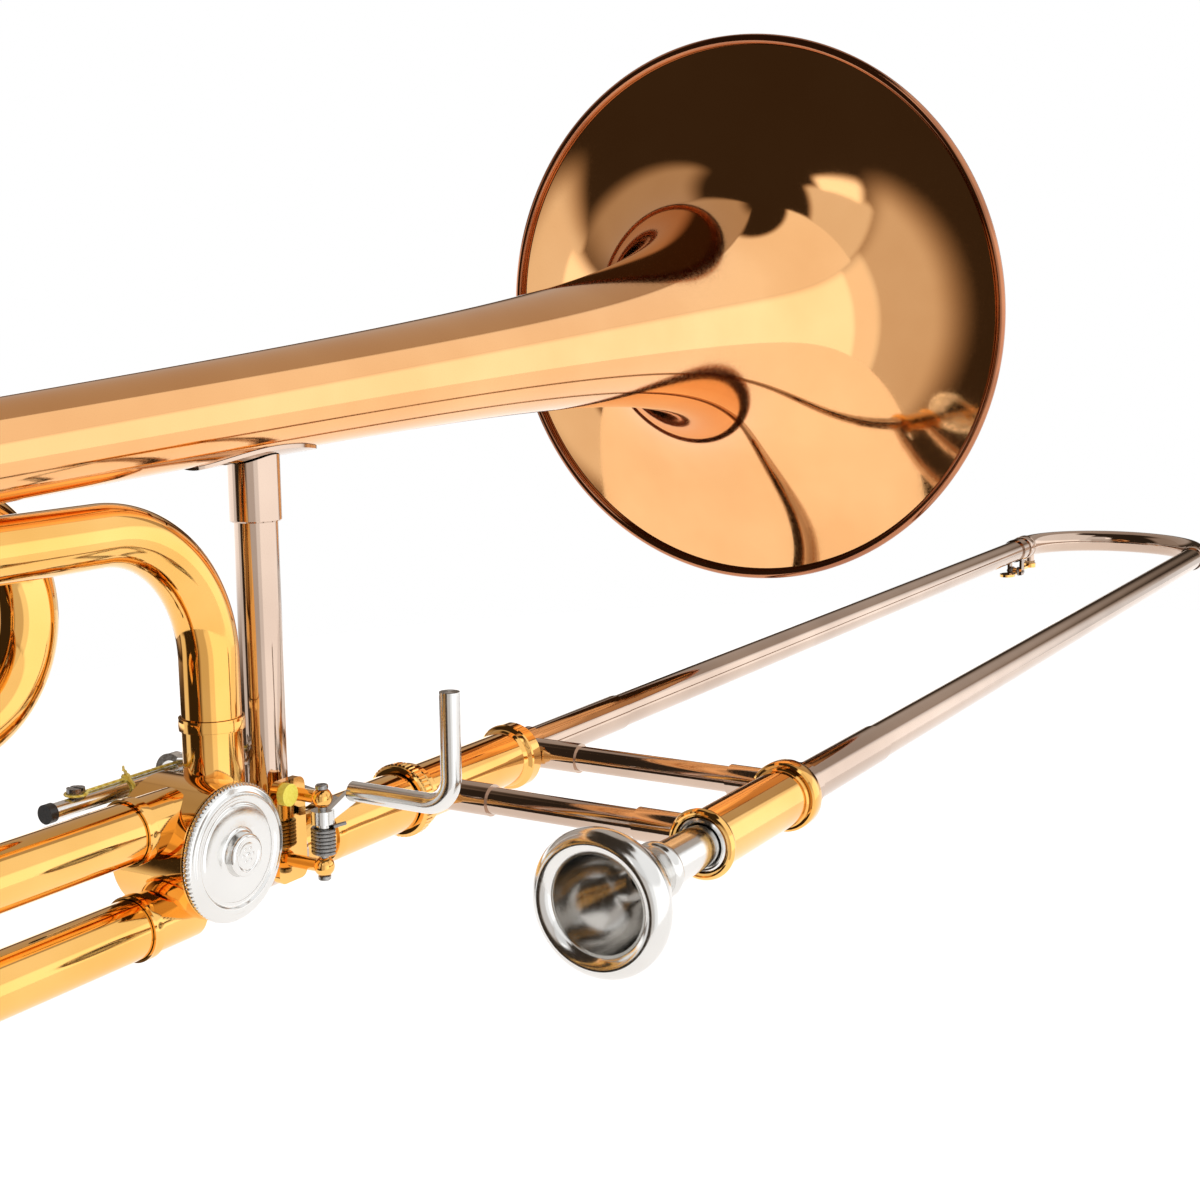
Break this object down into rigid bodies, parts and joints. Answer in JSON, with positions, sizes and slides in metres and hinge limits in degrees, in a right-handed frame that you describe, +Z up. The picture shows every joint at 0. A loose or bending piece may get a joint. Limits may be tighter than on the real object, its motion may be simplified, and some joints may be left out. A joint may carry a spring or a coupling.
{
  "type": "tenor trombone",
  "caption": "Tenor trombone with a rotary F valve, string-linked thumb lever, telescoping hand slide and flared bell.",
  "frame": {"origin": "on the axis of the bell-side slide tube, straight below the bell brace, where the left hand holds the horn", "axes": "+Z up from the slide to the bell, +Y forward along the slide, +X from the bell side to the mouthpiece side"},
  "size_m": [0.2271, 1.056, 0.2694],
  "materials": {
    "gold_brass": "polished, clear lacquer",
    "rim_brass": "polished, clear lacquer",
    "yellow_brass": "polished, clear lacquer",
    "nickel_silver": "polished, clear lacquer",
    "chromed_tube": "hard chrome, polished",
    "silver": "silver plated, polished",
    "steel": "turned steel",
    "spring_steel": "oiled spring wire",
    "bearing_bronze": "machined, oiled",
    "leadpipe_brass": "drawn, unlacquered",
    "cork": "compressed cork",
    "bumper_yellow": "moulded",
    "black_plastic": "moulded",
    "yellow_string": "braided"
  },
  "bodies": {
    "horn": {"barrel_corks": "cork", "bearing_plates": "bearing_bronze", "bell_brace": "nickel_silver", "bell_brace_fittings": "nickel_silver", "bell_flare": "gold_brass", "bell_leaf_plate": "nickel_silver", "bell_rim": "rim_brass", "bell_stem": "gold_brass", "cork_barrel_bell_side": "yellow_brass", "cork_barrel_mouthpiece_side": "yellow_brass", "f_front_bow": "yellow_brass", "f_lower_tube": "yellow_brass", "f_rear_crook": "yellow_brass", "f_riser_tube": "yellow_brass", "f_tuning_sleeves": "yellow_brass", "gooseneck": "yellow_brass", "inner_slide_brace": "nickel_silver", "inner_slide_tubes": "chromed_tube", "leadpipe": "leadpipe_brass", "lever_bumper": "bumper_yellow", "lever_hinge_rod": "steel", "lever_saddle": "yellow_brass", "lever_spring": "spring_steel", "loop_braces": "yellow_brass", "main_tuning_sleeves": "yellow_brass", "mouthpiece_receiver": "silver", "neckpipe": "yellow_brass", "slide_receiver": "yellow_brass", "slide_tenon": "nickel_silver", "stop_corks": "cork", "string_bar_guide": "silver", "tuning_sleeve_ferrules": "yellow_brass", "valve_cap": "silver", "valve_casing": "yellow_brass", "valve_knuckles": "yellow_brass"},
    "hand_slide": {"outer_slide_tubes": "nickel_silver", "outer_sleeves": "nickel_silver", "hand_brace": "nickel_silver", "slide_bow": "nickel_silver", "bow_ferrules": "nickel_silver", "water_key_saddle": "nickel_silver", "water_key_nipple": "nickel_silver", "water_key_pin": "steel"},
    "water_key": {"water_key": "yellow_brass", "water_key_cork": "cork"},
    "main_tuning_slide": {"main_tuning_bow": "yellow_brass", "main_tuning_legs": "nickel_silver", "main_tuning_ferrules": "yellow_brass"},
    "f_tuning_slide": {"f_tuning_bow": "yellow_brass"},
    "rotor": {"valve_rotor": "bearing_bronze", "rotor_hub": "silver", "hub_screw": "steel"},
    "thumb_lever": {"thumb_lever": "silver"},
    "string_bar": {"string_bar": "silver", "string_bar_plug": "black_plastic", "string_screw": "steel", "linkage_string": "yellow_string"},
    "mouthpiece": {"mouthpiece": "silver"},
    "bell_lock_nut": {"bell_lock_nut": "yellow_brass"},
    "slide_lock_ring": {"slide_lock_ring": "yellow_brass"}
  },
  "joints": [
    {"name": "hand_slide_move", "type": "slide", "parent": "horn", "child": "hand_slide", "axis": [0, 1, 0], "range_m": [0, 0.5]},
    {"name": "water_key_press", "type": "hinge", "parent": "hand_slide", "child": "water_key", "pos_m": [0, 0.674, -0.0126], "axis": [-1, 0, 0], "range_deg": [0, 14], "stiffness_Nm_per_rad": 0.05, "springref_deg": -17.19},
    {"name": "main_tuning_pull", "type": "slide", "parent": "horn", "child": "main_tuning_slide", "axis": [0, -1, 0], "range_m": [0, 0.06]},
    {"name": "f_tuning_pull", "type": "slide", "parent": "horn", "child": "f_tuning_slide", "axis": [0, -1, 0], "range_m": [0, 0.025]},
    {"name": "thumb_lever_press", "type": "hinge", "parent": "horn", "child": "thumb_lever", "pos_m": [0.018, 0.0012, 0.012], "axis": [0, 0, 1], "range_deg": [0, 26], "stiffness_Nm_per_rad": 0.08, "springref_deg": -22.92},
    {"name": "string_bar_run", "type": "slide", "parent": "horn", "child": "string_bar", "axis": [0, -1, 0], "range_m": [0, 0.01656]},
    {"name": "rotor_turn", "type": "hinge", "parent": "horn", "child": "rotor", "pos_m": [0, -0.028, 0.01], "axis": [1, 0, 0], "range_deg": [0, 90]},
    {"name": "mouthpiece_pull", "type": "slide", "parent": "horn", "child": "mouthpiece", "axis": [0, -1, 0], "range_m": [0, 0.06]},
    {"name": "lock_nut_turn", "type": "hinge", "parent": "horn", "child": "bell_lock_nut", "pos_m": [0, 0.06, 0], "axis": [0, 1, 0], "range_deg": [0, 180]},
    {"name": "slide_lock_turn", "type": "hinge", "parent": "horn", "child": "slide_lock_ring", "pos_m": [0.0996, 0.119, 0], "axis": [0, 1, 0], "range_deg": [0, 35]}
  ],
  "couplings": [
    {"joint": "string_bar_run", "follows": "thumb_lever_press", "m_per_rad": 0.0365},
    {"joint": "rotor_turn", "follows": "thumb_lever_press", "ratio": 3.4615}
  ]
}
